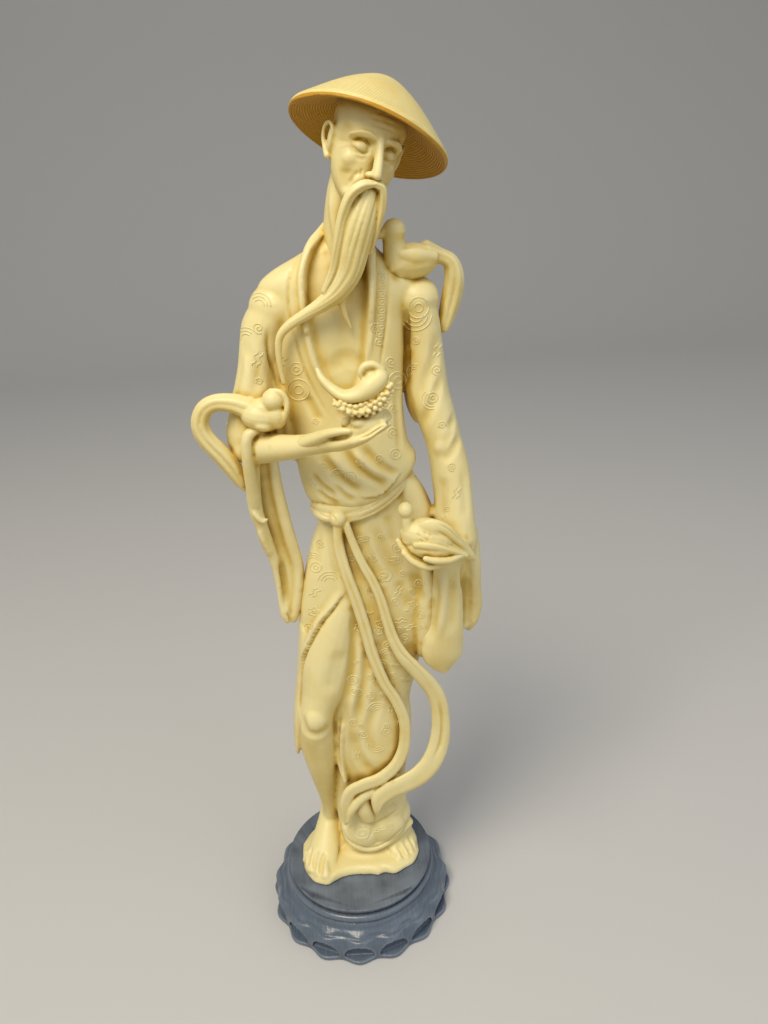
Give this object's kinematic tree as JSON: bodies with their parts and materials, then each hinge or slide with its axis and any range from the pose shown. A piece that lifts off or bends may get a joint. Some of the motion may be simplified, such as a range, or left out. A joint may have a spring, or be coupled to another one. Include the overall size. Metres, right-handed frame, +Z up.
{
  "type": "standing figurine",
  "caption": "Resin figurine of an old sage in a long robe and wide straw hat, with long-tailed birds and a nest, on a round black arched stand.",
  "frame": {"origin": "centre of the stand's underside", "axes": "+Z up, the figure faces -Y, +X to the viewer's right"},
  "size_m": [0.1435, 0.1164, 0.4769],
  "materials": {
    "ivorine_resin": "satin ivory-yellow cast resin",
    "black_stand": "black paint, matt top with fine grain and a glossier moulded rim"
  },
  "bodies": {
    "root": {"sage_figure": "ivorine_resin", "stand": "black_stand"}
  },
  "joints": []
}
